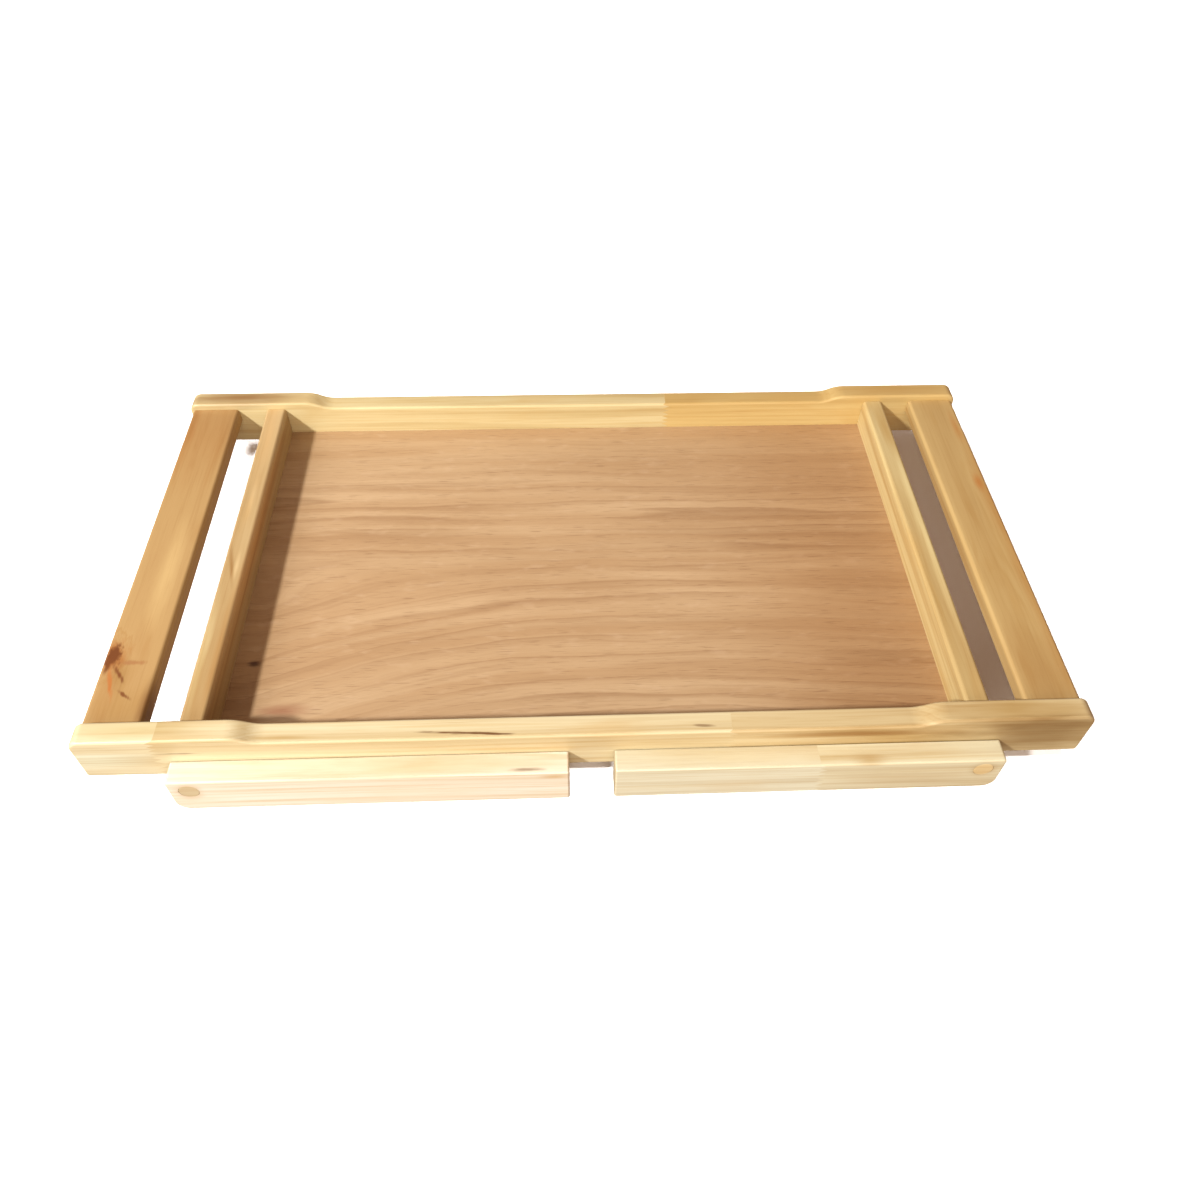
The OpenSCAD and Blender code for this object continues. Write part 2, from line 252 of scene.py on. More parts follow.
def wood(
    name,
    along="X",
    seed=1.0,
    pale=(0.62, 0.50, 0.30),
    dark=(0.47, 0.31, 0.14),
    warm=(0.52, 0.33, 0.13),
    pith=(0.0, -55.0),
    middle=(0.0, 0.0),
    lean=0.0,
    lines=0.55,
    spacing=4.2,
    joints=(),
    tones=(),
    shades=(),
    marks=(),
    knots=(),
):
    """A solid wood: streaks and rings about a pith beside the board, fibres, joints, stains, knots,
    painted light and shade.

    Lengths are millimetres; pith and middle are (across, up), and lean is how far the grain
    drifts across per length. shades are ((along, across, up), (reach along, across, up), colour
    factor, strength) with an optional slant, marks the same with a colour and always a slant,
    knots are (along, across, up, radius), and tones are colour factors beyond each joint. The
    shades hold stains and figure of the wood, and painted shade and painted highlights too.
    """
    g = Graph(name)
    plain, moved, steps = grain_frame(g, along, seed, [place * MM for place in joints])
    pu, pv, pw = g.split(plain)

    # distance from the pith, bent by the tree's own growth, is what every streak follows
    slow = g.grain(moved, SLOW_BEND, 2.0, 0.45)
    fine = g.grain(moved, FINE_BEND)
    dv = g.less(g.add(pv, g.times(pu, lean)), (middle[0] + pith[0]) * MM)
    dw = g.less(pw, (middle[1] + pith[1]) * MM)
    for index, step in enumerate(steps):
        side = -1.0 if index % 2 else 1.0
        dv = g.add(dv, g.times(step, side * JOINT_SHIFT[0]))
        dw = g.add(dw, g.times(step, -side * JOINT_SHIFT[1]))
    radius = g.math("SQRT", g.add(g.times(dv, dv), g.times(dw, dw)))
    radius = g.add(radius, g.sway(slow, WANDER * MM))
    radius = g.add(radius, g.sway(fine, SHIVER * MM))
    for *centre, size in knots:
        reach = (size * 4.2, size * 2.4, size * 5.0)
        near = spot(g, plain, moved, centre, reach, ragged=0.25, hard=0.0)
        radius = g.add(radius, g.times(near, size * 1.5 * MM))

    mu, mv, mw = g.split(moved)
    across = g.add(g.times(mv, 9.0), g.times(mw, 9.0))
    zone = g.noise(g.combine(g.times(radius, 115.0), g.times(mu, 2.6), across))
    line = g.noise(g.combine(g.times(radius, 620.0), g.times(mu, 5.5), across), 3.0, 0.6)
    turn = g.math("FRACT", g.math("DIVIDE", radius, spacing * MM))
    ring = g.times(g.ramp(turn, RING_PROFILE), g.fit(zone, 0.34, 0.66, 0.1, 1.0))
    fibre = g.grain(moved, FIBRES, 4.0, 0.62)
    hair = g.grain(moved, HAIRS, 2.0, 0.6)
    mottle = g.grain(moved, MOTTLES, 3.0, 0.55)
    drift = g.grain(moved, DRIFTS, 1.0)

    tone = g.mix(g.fit(zone, 0.40, 0.66, 0.0, ZONES), pale, dark)
    tone = g.darker(g.fit(line, 0.46, 0.70, 0.0, lines), tone, LINE_SHADE)
    tone = g.darker(g.times(ring, RINGS), tone, RING_SHADE)
    tone = g.mix(g.fit(mottle, 0.50, 0.76, 0.0, 0.55), tone, warm)
    tone = g.darker(g.fit(drift, 0.36, 0.70, 0.0, 0.40), tone, DRIFT_SHADE)
    for step, factor in zip(steps, tones):
        tone = g.darker(step, tone, factor)
    # shades: stains and figure of the wood, and painted shade and painted highlights, as colour
    # factors
    for centre, reach, factor, strength, *slant in shades:
        patch = spot(g, plain, moved, centre, reach, 0.45, STAIN_AND_SHADE_EDGES, 0.0, *slant)
        tone = g.darker(g.times(patch, strength), tone, factor)
    tone = g.darker(g.fit(fibre, 0.48, 0.74, 0.0, 0.40), tone, FIBRE_SHADE)
    tone = g.darker(g.fit(hair, 0.52, 0.80, 0.0, 0.30), tone, HAIR_SHADE)

    pits = None
    for *centre, size in knots:
        reach = (size * 2.6, size * 1.9, size * 5.0)
        halo = spot(g, plain, moved, centre, reach, 0.6, HALO_EDGES, 0.0)
        tone = g.darker(g.times(halo, 0.85), tone, KNOT_SHADE)
        reach = (size * 1.5, size, size * 5.0)
        core = spot(g, plain, moved, centre, reach, 0.9, CORE_EDGES, 0.45)
        tone = g.mix(g.times(core, 0.95), tone, KNOT_CORE)
        pits = core if pits is None else g.math("MAXIMUM", pits, core)
    for centre, reach, stain, strength, slant in marks:
        streak = spot(g, plain, moved, centre, reach, slant=slant)
        tone = g.mix(g.times(streak, strength), tone, stain)

    # end grain drinks more lacquer, and looks darker
    face = g.node("TexCoord").outputs["Normal"]
    end = (1, 0, 0) if along == "X" else (0, 1, 0)
    facing = g.math("ABSOLUTE", g.vector("DOT_PRODUCT", face, end))
    tone = g.darker(g.fit(facing, 0.45, 0.95, 0.0, 0.85), tone, END_SHADE)

    height = g.add(g.times(fibre, 0.55), g.times(hair, 0.30))
    height = g.less(height, g.times(ring, 0.35))
    if pits is not None:
        height = g.add(height, g.times(pits, 0.8))
    gloss = g.add(g.times(fibre, 0.6), g.times(mottle, 0.4))
    rough = g.fit(gloss, 0.30, 0.70, *WOOD_ROUGHNESS, smooth=False)
    return finish_wood(g, tone, height, rough, WOOD_RELIEF, WOOD_COAT)


def finish_wood(g, tone, height, roughness, relief, coat):
    """Lacquered wood from its colour, relief and roughness."""
    bump = g.node("Bump")
    bump.inputs["Strength"].default_value = 0.9
    bump.inputs["Distance"].default_value = relief * MM
    g.put(bump.inputs["Height"], height)
    g.put(g.shader.inputs["Base Color"], tone)
    g.put(g.shader.inputs["Roughness"], roughness)
    g.put(g.shader.inputs["Normal"], bump.outputs[0])
    g.shader.inputs["IOR"].default_value = 1.48
    g.shader.inputs["Coat Weight"].default_value = coat
    g.shader.inputs["Coat Roughness"].default_value = 0.32
    return g.material


VENEER_PALE, VENEER_DARK = (0.520, 0.362, 0.205), (0.450, 0.300, 0.162)
VENEER_BAND, VENEER_EDGE = (0.400, 0.245, 0.120), (0.285, 0.158, 0.072)
VENEER_LINE, VENEER_FIBRE = (0.310, 0.178, 0.085), (0.330, 0.195, 0.098)
VENEER_FLAKE, VENEER_PORE = (0.590, 0.430, 0.275), (0.195, 0.098, 0.042)
VENEER_PIN, VENEER_STAIN = (0.060, 0.020, 0.008), (0.270, 0.105, 0.050)
# colour factor of a painted shade that darkens the panel towards the right
RIGHT_PAINTED_SHADE = (0.83, 0.72, 0.60)
EDGE_PROFILE = [(0.0, 0.0), (0.45, 0.12), (0.82, 0.55), (0.94, 1.0), (1.0, 0.0)]
LEFT_SWEEP, RIGHT_SWEEP = 42.0, 11.0  # how far the lines drop towards the ends, in millimetres
SWAY, RIPPLE = 16.0, 5.0  # how far they wander, in millimetres


def veneer(name):
    """Rotary-cut veneer: lines along the panel that sweep down at its near left, and pores."""
    g = Graph(name)
    plain, moved, _ = grain_frame(g, "X", 5.3, ())
    pu, pv, _ = g.split(plain)
    # the sweep: lines drop towards the left end, more so near the front, and less to the right
    left = g.math("POWER", g.fit(pu, -20 * MM, -215 * MM, smooth=False), 1.6)
    near = g.fit(pv, 18 * MM, -45 * MM)
    level = g.add(pv, g.times(g.times(left, near), LEFT_SWEEP * MM))
    right = g.fit(pu, 60 * MM, 260 * MM)
    level = g.add(level, g.times(g.times(right, near), RIGHT_SWEEP * MM))
    slow = g.grain(moved, (4.0, 9.0, 9.0), 2.0, 0.45)
    ripple = g.grain(moved, (16.0, 60.0, 60.0), 3.0, 0.55)
    level = g.add(level, g.sway(slow, SWAY * MM))
    level = g.add(level, g.sway(ripple, RIPPLE * MM))

    mu = g.split(moved)[0]
    band = g.noise(g.combine(g.times(level, 75.0), g.times(mu, 2.5), 3.1), 1.0)
    line = g.noise(g.combine(g.times(level, 260.0), g.times(mu, 7.0), 7.7), 3.0, 0.6)
    spread = g.add(g.times(level, 62.0), g.times(band, 2.2))
    edge = g.ramp(g.math("FRACT", spread), EDGE_PROFILE)
    calm = g.grain(moved, (6.0, 16.0, 16.0))
    quiet = g.fit(pv, 105 * MM, 60 * MM, 0.35, 1.0)  # the far part is plainer
    edge = g.times(g.times(edge, g.fit(calm, 0.34, 0.62, 0.15, 1.0)), quiet)
    pore = g.fit(g.grain(moved, (60.0, 1300.0, 1300.0)), 0.58, 0.72)
    fibre = g.noise(g.combine(g.times(mu, 18.0), g.times(level, 900.0), 1.3), 4.0, 0.62)
    cloud = g.grain(moved, (5.0, 15.0, 15.0), 3.0)
    flake = g.grain(moved, (70.0, 190.0, 190.0))

    tone = g.mix(g.fit(cloud, 0.32, 0.68), VENEER_PALE, VENEER_DARK)
    tone = g.mix(g.fit(band, 0.40, 0.62, 0.0, 0.50), tone, VENEER_BAND)
    tone = g.mix(g.times(edge, 0.56), tone, VENEER_EDGE)
    tone = g.mix(g.times(g.fit(line, 0.50, 0.72, 0.0, 0.28), quiet), tone, VENEER_LINE)
    tone = g.mix(g.fit(fibre, 0.47, 0.75, 0.0, 0.28), tone, VENEER_FIBRE)
    tone = g.mix(g.fit(flake, 0.55, 0.78, 0.0, 0.22), tone, VENEER_FLAKE)
    tone = g.mix(g.times(pore, 0.42), tone, VENEER_PORE)
    # painted shade: the panel darkens towards its right end
    tone = g.darker(g.fit(pu, 60 * MM, 190 * MM, 0.0, 0.8), tone, RIGHT_PAINTED_SHADE)
    pin = spot(g, plain, moved, (-214.0, -85.0, 23.0), (6.0, 3.6, 5.0), 0.6)
    tone = g.mix(g.times(pin, 0.85), tone, VENEER_PIN)
    centre, reach = (-190.0, -122.0, 23.0), (24.0, 7.0, 9.0)
    stain = spot(g, plain, moved, centre, reach, 0.5, STAIN_AND_SHADE_EDGES, 0.0)
    tone = g.mix(g.times(stain, 0.7), tone, VENEER_STAIN)
    height = g.less(g.times(fibre, 0.5), g.times(pore, 0.9))
    rough = g.fit(fibre, 0.30, 0.70, 0.40, 0.54, smooth=False)
    return finish_wood(g, tone, height, rough, 0.035, 0.05)


def steel(name):
    """Zinc-plated steel with fine turning marks and a clouded plating."""
    g = Graph(name)
    place = g.node("TexCoord").outputs["Object"]
    cloud = g.grain(place, (900.0, 900.0, 900.0), 3.0)
    turned = g.grain(place, (400.0, 9000.0, 400.0))
    tone = g.mix(g.fit(cloud, 0.3, 0.7), (0.50, 0.51, 0.53), (0.66, 0.66, 0.64))
    bump = g.node("Bump")
    bump.inputs["Strength"].default_value = 0.6
    bump.inputs["Distance"].default_value = 0.01 * MM
    g.put(bump.inputs["Height"], turned)
    g.put(g.shader.inputs["Base Color"], tone)
    g.put(g.shader.inputs["Roughness"], g.fit(cloud, 0.3, 0.7, 0.24, 0.42))
    g.put(g.shader.inputs["Normal"], bump.outputs[0])
    g.shader.inputs["Metallic"].default_value = 1.0
    return g.material


# ---------------------------------------------------------------- board shapes


def rounded_outline(corners, step=math.radians(8)):
    """Points and outward normals round a closed outline in x and z.

    corners are (x, z, radius), anticlockwise.
    """
    points = []
    count = len(corners)
    for index, (x, z, radius) in enumerate(corners):
        here = Vector((x, z))
        before = (Vector(corners[index - 1][:2]) - here).normalized()
        after = (Vector(corners[(index + 1) % count][:2]) - here).normalized()
        angle_in = math.atan2(before.x, -before.y)
        angle_out = math.atan2(-after.x, after.y)
        turn = (angle_out - angle_in + math.pi) % (2 * math.pi) - math.pi
        bulge = radius if turn > 0 else -radius
        start = here + before * radius * math.tan(abs(turn) / 2)
        normal_in = Vector((math.cos(angle_in), math.sin(angle_in)))
        centre = start - normal_in * bulge
        steps = max(2, math.ceil(abs(turn) / step))
        for k in range(steps + 1):
            angle = angle_in + turn * k / steps
            normal = Vector((math.cos(angle), math.sin(angle)))
            points.append((centre + normal * bulge, normal))
    return points


def board(name, corners, low, high, edges, steps=4):
    """A board with this outline in x and z, from low to high in y. Millimetres.

    edges are the roundings at low and at high.
    """
    outline = rounded_outline(corners)
    mesh = bmesh.new()
    quarter = [k * math.pi / 2 / steps for k in range(steps + 1)]
    fall = [(1 - math.cos(a), 1 - math.sin(a)) for a in quarter]
    slices = [(low + edges[0] * out, edges[0] * inwards) for out, inwards in fall]
    slices += [(high - edges[1] * out, edges[1] * inwards) for out, inwards in reversed(fall)]
    rings = []
    for y, inset in slices:
        spots = [point - normal * inset for point, normal in outline]
        rings.append([mesh.verts.new((p.x * MM, y * MM, p.y * MM)) for p in spots])
    for a, b in zip(rings, rings[1:]):
        for i in range(len(outline)):
            mesh.faces.new((a[i - 1], a[i], b[i], b[i - 1]))
    mesh.faces.new(rings[0])
    mesh.faces.new(rings[-1])
    bmesh.ops.recalc_face_normals(mesh, faces=mesh.faces)
    return link(name, mesh)


def turned(name, rods, ease, flutes=0):
    """Round wooden rods along y, as one object. Millimetres.

    rods are (x, z, low y, high y, radius); both ends are rounded by ease, and flutes are shallow
    grooves between them.
    """
    mesh = bmesh.new()
    count, steps = 96, 4
    quarter = [k * math.pi / 2 / steps for k in range(steps + 1)]
    fall = [(ease * (1 - math.sin(a)), ease * (1 - math.cos(a))) for a in quarter]
    for x, z, low, high, radius in rods:
        profile = [(low + out, inset) for out, inset in reversed(fall)]
        profile += [(high - out, inset) for out, inset in fall]
        rings = []
        for y, inset in profile:
            ring = []
            for k in range(count):
                angle = 2 * math.pi * k / count
                fluted = flutes and inset == 0
                groove = FLUTE_DEPTH * (0.5 + 0.5 * math.cos(flutes * angle)) if fluted else 0.0
                reach = radius - inset - groove
                at = Vector((x + reach * math.cos(angle), y, z + reach * math.sin(angle)))
                ring.append(mesh.verts.new(at * MM))
            rings.append(ring)
        for a, b in zip(rings, rings[1:]):
            for k in range(count):
                mesh.faces.new((a[k - 1], a[k], b[k], b[k - 1]))
        mesh.faces.new(rings[0])
        mesh.faces.new(rings[-1])
    bmesh.ops.recalc_face_normals(mesh, faces=mesh.faces)
    return link(name, mesh)


def link(name, mesh):
    data = bpy.data.meshes.new(name)
    mesh.to_mesh(data)
    mesh.free()
    made = bpy.data.objects.new(name, data)
    scene.collection.objects.link(made)
    return made


def block(low, high):
    """A plain box, used only to cut with. Millimetres."""
    mesh = bmesh.new()
    bmesh.ops.create_cube(mesh, size=1.0)
    for v in mesh.verts:
        for i in range(3):
            v.co[i] = (low[i] if v.co[i] < 0 else high[i]) * MM
    return link("cutter", mesh)


def drill(x, z, low, high, diameter):
    """A cylinder along y, used only to cut with. Millimetres."""
    mesh = bmesh.new()
    radius, depth = diameter / 2 * MM, (high - low) * MM
    bmesh.ops.create_cone(
        mesh, cap_ends=True, segments=48, radius1=radius, radius2=radius, depth=depth
    )
    for v in mesh.verts:
        v.co = Vector((v.co.x + x * MM, v.co.z + (low + high) / 2 * MM, v.co.y + z * MM))
    bmesh.ops.reverse_faces(mesh, faces=mesh.faces)  # swapping y and z turned it inside out
    return link("cutter", mesh)


def cut(obj, cutters):
    """Takes the cutters out of obj and deletes them."""
    for cutter in cutters:
        boolean = obj.modifiers.new("cut", "BOOLEAN")
        boolean.operation = "DIFFERENCE"
        boolean.solver = "EXACT"
        boolean.object = cutter
    bpy.context.view_layer.update()
    graph = bpy.context.evaluated_depsgraph_get()
    data = bpy.data.meshes.new_from_object(obj.evaluated_get(graph))
    obj.modifiers.clear()
    obj.data = data
    for cutter in cutters:
        bpy.data.objects.remove(cutter)
    return obj


def smooth(obj, angle=math.radians(32)):
    """Smooth shading inside rounded edges and flat shading across sharp ones."""
    mesh = bmesh.new()
    mesh.from_mesh(obj.data)
    for face in mesh.faces:
        face.smooth = True
    for edge in mesh.edges:
        edge.smooth = len(edge.link_faces) == 2 and edge.calc_face_angle(0.0) < angle
    mesh.to_mesh(obj.data)
    mesh.free()
    weighted = obj.modifiers.new("even_faces", "WEIGHTED_NORMAL")
    weighted.keep_sharp = True


def paint(obj, material):
    obj.data.materials.clear()
    obj.data.materials.append(material)


def place_board(obj, body, node, material):
    """Finishes a board that stands for a CAD node."""
    smooth(obj)
    paint(obj, material)
    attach(obj, body)
    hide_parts(node)


def box_mm(node):
    low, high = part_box(node)
    return [c / MM for c in low], [c / MM for c in high]


# ---------------------------------------------------------------- sizes, from the CAD boxes

PAST = 1.0  # how far a cutter runs past a face
GLUE = 0.05  # gap round a glued or turning part, as in the CAD
rail_low, rail_high = box_mm("back_rail")
end_low, end_high = box_mm("right_end_rail")
handle_low, handle_high = box_mm("right_handle")
panel_low, panel_high = box_mm("base_panel")
leg_low, leg_high = box_mm("right_back_leg")
bar_low, bar_high = box_mm("right_stop_bar")
rung_low, rung_high = box_mm("right_foot_rung")
plug_low, plug_high = box_mm("right_pivot_plugs")
deck = end_high[2]
dip = rail_high[2] - deck
RAISED, STEP = 88.0, 22.0  # a rail's raised end and its curved step
RAIL_FOOT, RAIL_CORNER = 2.2, 7.0  # roundings of a rail's lower and upper corners
RAIL_EDGE, BAR_END, LEG_INNER, LEG_OUTER = 1.9, 0.25, 0.4, 1.3  # roundings along the edges
LEG_FOOT, LEG_NOSE, LEG_SHOULDER = 1.4, 8.0, 2.0  # roundings of a leg's corners
CROSS_ROUND = 2.5  # rounding of end rails, handles and stop bars
DOWEL = 6.0 + 2 * GLUE  # a dowel hole
DOWEL_FACE, DOWEL_END = 10.0, 20.0  # its depth in a board's face and in a board's end
DOWEL_INSET = 6.0  # from the panel and from the deck to an end rail's dowels
DOWEL_SHORT, ROD_EASE = 0.5, 0.8  # a dowel's clearance in its hole, and its rounded ends
THREAD_HOLE, THREAD_DEPTH = 4.0 + 2 * GLUE, 11.5  # in the rails
SHANK_HOLE, PLUG_DEPTH = 5.0 + 2 * GLUE, 7.8  # in the legs
GROOVE = 6.0  # depth of the grooves that hold the panel
FLUTES, FLUTE_DEPTH = 16, 0.25
PLUG_THICKNESS, PLUG_EASE = 4.0, 0.45
plug_radius = (plug_high[0] - plug_low[0]) / 2
plug_hole = plug_high[2] - plug_low[2] + 2 * GLUE
rung_radius = (rung_high[2] - rung_low[2]) / 2
rung_hole = rung_high[2] - rung_low[2] + 2 * GLUE
rung_x, rung_z = (rung_low[0] + rung_high[0]) / 2, (rung_low[2] + rung_high[2]) / 2
pivot_x = (plug_low[0] + plug_high[0]) / 2
pivot_z = (plug_low[2] + plug_high[2]) / 2
end_x = (end_low[0] + end_high[0]) / 2
handle_width = handle_high[0] - handle_low[0]
bar_width = bar_high[0] - bar_low[0]


def mirrored(corners, side):
    """The outline, or its mirror image in x, still anticlockwise."""
    return corners if side > 0 else [(-x, z, r) for x, z, r in reversed(corners)]


def span(low, high, side):
    """A y range, or its mirror image."""
    return (low, high) if side > 0 else (-high, -low)


def rail_corners():
    """A rail's outline: raised ends that curve down to the deck's height."""
    x1, z0, z1 = rail_high[0], rail_low[2], rail_high[2]
    bend = (dip * dip + STEP * STEP) / (4 * dip)
    slope = 2 * math.atan(dip / STEP)
    reach = bend * math.tan(slope / 2)
    outer = x1 - RAISED - reach
    inner = x1 - RAISED - STEP + reach
    right = [(x1, z0, RAIL_FOOT), (x1, z1, RAIL_CORNER), (outer, z1, bend), (inner, deck, bend)]
    return right + [(-x, z, r) for x, z, r in reversed(right)]


def side_rail(side, name, node, material):
    """A side rail with its panel groove, dowel holes and screw holes."""
    thick = span(rail_low[1], rail_high[1], side)
    obj = board(name, rail_corners(), *thick, edges=(RAIL_EDGE, RAIL_EDGE))
    inner = rail_low[1]
    groove = span(inner - PAST, inner + GROOVE, side)
    half = end_low[0] + GROOVE
    z0, z1 = panel_low[2] - GLUE, panel_high[2] + GLUE
    cutters = [block((-half, groove[0], z0), (half, groove[1], z1))]
    holes = span(inner - PAST, inner + DOWEL_FACE, side)
    screw = span(rail_high[1] - THREAD_DEPTH, rail_high[1] + PAST, side)
    for sign in (-1, 1):
        for x, z in end_rail_dowels() + handle_dowels():
            cutters.append(drill(sign * x, z, *holes, DOWEL))
        cutters.append(drill(sign * pivot_x, pivot_z, *screw, THREAD_HOLE))
    place_board(cut(obj, cutters), "tray", node, material)


def end_rail_dowels():
    return [(end_x, panel_high[2] + DOWEL_INSET), (end_x, deck - DOWEL_INSET)]


def handle_dowels():
    z = (handle_low[2] + handle_high[2]) / 2
    return [(handle_low[0] + handle_width / 4, z), (handle_high[0] - handle_width / 4, z)]


def stop_bar_dowels():
    z = (bar_low[2] + bar_high[2]) / 2
    return [(bar_low[0] + bar_width / 4, z), (bar_high[0] - bar_width / 4, z)]


def cross_piece(side, name, node, body, material, low, high, dowels, groove=False):
    """An end rail, handle or stop bar: a rounded section along y, with dowel holes in its ends."""
    (x0, y0, z0), (x1, y1, z1) = low, high
    section = [(x, z, CROSS_ROUND) for x, z in ((x0, z0), (x1, z0), (x1, z1), (x0, z1))]
    obj = board(name, mirrored(section, side), y0, y1, edges=(BAR_END, BAR_END), steps=2)
    cutters = []
    for sign in (-1, 1):
        holes = span(y1 - DOWEL_END, y1 + PAST, sign)
        cutters += [drill(side * x, z, *holes, DOWEL) for x, z in dowels]
    if groove:
        near, far = sorted((side * (x0 - PAST), side * (x0 + GROOVE)))
        below, above = panel_low[2] - GLUE, panel_high[2] + GLUE
        cutters.append(block((near, y0 - PAST, below), (far, y1 + PAST, above)))
    place_board(cut(obj, cutters), body, node, material)


def leg(side_x, side_y, name, node, body, material):
    """A leg board, with its pivot hole and the plug's counterbore near its nose."""
    (x0, face, z0), (x1, outer, z1) = leg_low, leg_high
    corners = [(x0, z0, LEG_FOOT), (x1, z0, LEG_NOSE), (x1, z1, LEG_SHOULDER), (x0, z1, LEG_FOOT)]
    edges = (LEG_INNER, LEG_OUTER) if side_y > 0 else (LEG_OUTER, LEG_INNER)
    obj = board(name, mirrored(corners, side_x), *span(face, outer, side_y), edges)
    blind = span(face - PAST, face + DOWEL_FACE, side_y)
    cutters = [drill(side_x * x, z, *blind, DOWEL) for x, z in stop_bar_dowels()]
    cutters.append(drill(side_x * rung_x, rung_z, *blind, rung_hole))
    through = span(face - PAST, outer + PAST, side_y)
    cutters.append(drill(side_x * pivot_x, pivot_z, *through, SHANK_HOLE))
    counterbore = span(outer - PLUG_DEPTH, outer + PAST, side_y)
    cutters.append(drill(side_x * pivot_x, pivot_z, *counterbore, plug_hole))
    place_board(cut(obj, cutters), body, node, material)


# ---------------------------------------------------------------- the tray

BROWN = (0.13, 0.055, 0.018)
side_rail(
    -1,
    "front_rail_board",
    "front_rail",
    wood(
        "front_rail_pine",
        seed=3.1,
        joints=(-251.0, 86.0),
        tones=((0.985, 0.96, 0.91), (0.98, 0.94, 0.88)),
        pale=(0.67, 0.62, 0.43),
        dark=(0.54, 0.45, 0.26),
        warm=(0.58, 0.45, 0.24),
        middle=(-152, 33),
        pith=(-30.0, -58.0),
        lean=0.012,
        shades=(
            # painted shade in the concave curve of the left step
            ((-203.0, -150.0, 48.0), (8.0, 9.0, 7.0), (0.86, 0.76, 0.58), 0.6),
            ((-180.0, -156.0, 46.0), (26.0, 2.0, 3.0), (0.80, 0.70, 0.54), 0.8),
            # painted shade on the left raised end's top
            ((-262.0, -151.0, 51.0), (60.0, 12.0, 6.0), (0.76, 0.68, 0.49), 0.8),
            # painted highlight: the left end of the front face washed out towards white
            ((-290.0, -160.5, 33.0), (46.0, 4.0, 15.0), (1.10, 1.28, 1.55), 0.9),
            # painted shade on the right raised end's top
            ((250.0, -152.0, 49.0), (80.0, 16.0, 12.0), (0.68, 0.54, 0.32), 0.85),
            ((165.0, -160.0, 40.0), (85.0, 6.0, 4.5), (0.62, 0.44, 0.24), 0.9),
            # painted shade: the front face darkens towards its right end, over these two patches
            ((270.0, -160.5, 33.0), (100.0, 6.0, 36.0), (0.48, 0.40, 0.30), 1.0),
            ((180.0, -160.0, 36.0), (85.0, 5.0, 16.0), (0.68, 0.55, 0.34), 0.9),
            ((-45.0, -160.0, 33.0), (55.0, 5.0, 4.0), (0.86, 0.74, 0.55), 0.7),
        ),
        marks=(
            ((-72.0, -156.0, 46.0), (36.0, 1.25, 3.0), BROWN, 0.95, -0.055),
            ((66.0, -155.0, 46.0), (8.0, 1.4, 3.0), BROWN, 0.6, -0.1),
            ((-240.0, -160.0, 38.0), (18.0, 3.0, 1.1), BROWN, 0.55, 0.0),
        ),
    ),
)
side_rail(
    1,
    "back_rail_board",
    "back_rail",
    wood(
        "back_rail_pine",
        seed=7.7,
        joints=(72.0,),
        tones=((0.98, 0.88, 0.70),),
        pale=(0.63, 0.54, 0.30),
        dark=(0.50, 0.39, 0.18),
        warm=(0.55, 0.40, 0.17),
        middle=(152, 33),
        pith=(22.0, -48.0),
        shades=(
            # painted shade on the left raised end's top
            ((-262.0, 153.0, 51.0), (75.0, 14.0, 8.0), (0.38, 0.22, 0.12), 0.9),
            ((250.0, 153.0, 51.0), (75.0, 12.0, 8.0), (0.80, 0.66, 0.48), 0.7),
        ),
    ),
)
KNOT_BROWN = (0.15, 0.042, 0.006)
END_RAIL_TONES = {
    "left": {"pale": (0.49, 0.36, 0.18), "dark": (0.36, 0.23, 0.09), "warm": (0.43, 0.27, 0.10)},
    "right": {"pale": (0.56, 0.45, 0.22), "dark": (0.44, 0.31, 0.13), "warm": (0.50, 0.34, 0.13)},
}
END_RAIL_SHADES = {
    "left": (
        ((-21.0, -235.0, 46.0), (26.0, 2.4, 8.0), (0.66, 0.50, 0.32), 0.9, -0.2),
        ((-20.0, -232.0, 46.0), (22.0, 2.6, 8.0), (1.35, 1.45, 1.60), 0.8),
        ((42.0, -234.0, 46.0), (34.0, 3.0, 8.0), (1.30, 1.35, 1.45), 0.8),
        # painted highlight along the outer part of the top, towards the near end
        ((-95.0, -238.5, 46.0), (75.0, 5.0, 8.0), (1.30, 1.54, 1.80), 0.9),
        # painted shade on the inner edge of the top
        ((-90.0, -229.5, 46.0), (80.0, 3.5, 9.0), (0.92, 0.80, 0.66), 0.8),
        # painted light on the inner face, which lies in shade
        ((0.0, -227.0, 40.0), (170.0, 2.6, 14.0), (1.32, 1.12, 0.95), 0.9),
        ((110.0, -234.0, 46.0), (70.0, 9.0, 12.0), (1.20, 1.12, 1.05), 0.8),
    ),
    "right": (
        ((115.0, 236.0, 45.0), (40.0, 6.0, 9.0), (0.82, 0.70, 0.52), 0.7),
        ((-60.0, 230.0, 46.0), (70.0, 3.0, 6.0), (0.90, 0.80, 0.62), 0.6),
        # painted highlight along the outer part of the top
        ((-20.0, 238.5, 46.0), (150.0, 5.0, 8.0), (1.36, 1.52, 1.70), 0.8),
    ),
}
for side, label, seed in ((-1, "left", 11.2), (1, "right", 14.9)):
    cross_piece(
        side,
        label + "_end_rail_board",
        label + "_end_rail",
        "tray",
        wood(
            label + "_end_rail_pine",
            along="Y",
            seed=seed,
            middle=(side * end_x, 30),
            pith=(12.0, -60.0),
            lean=0.05,
            shades=END_RAIL_SHADES[label],
            **END_RAIL_TONES[label],
        ),
        end_low,
        end_high,
        end_rail_dowels(),
        groove=True,
    )
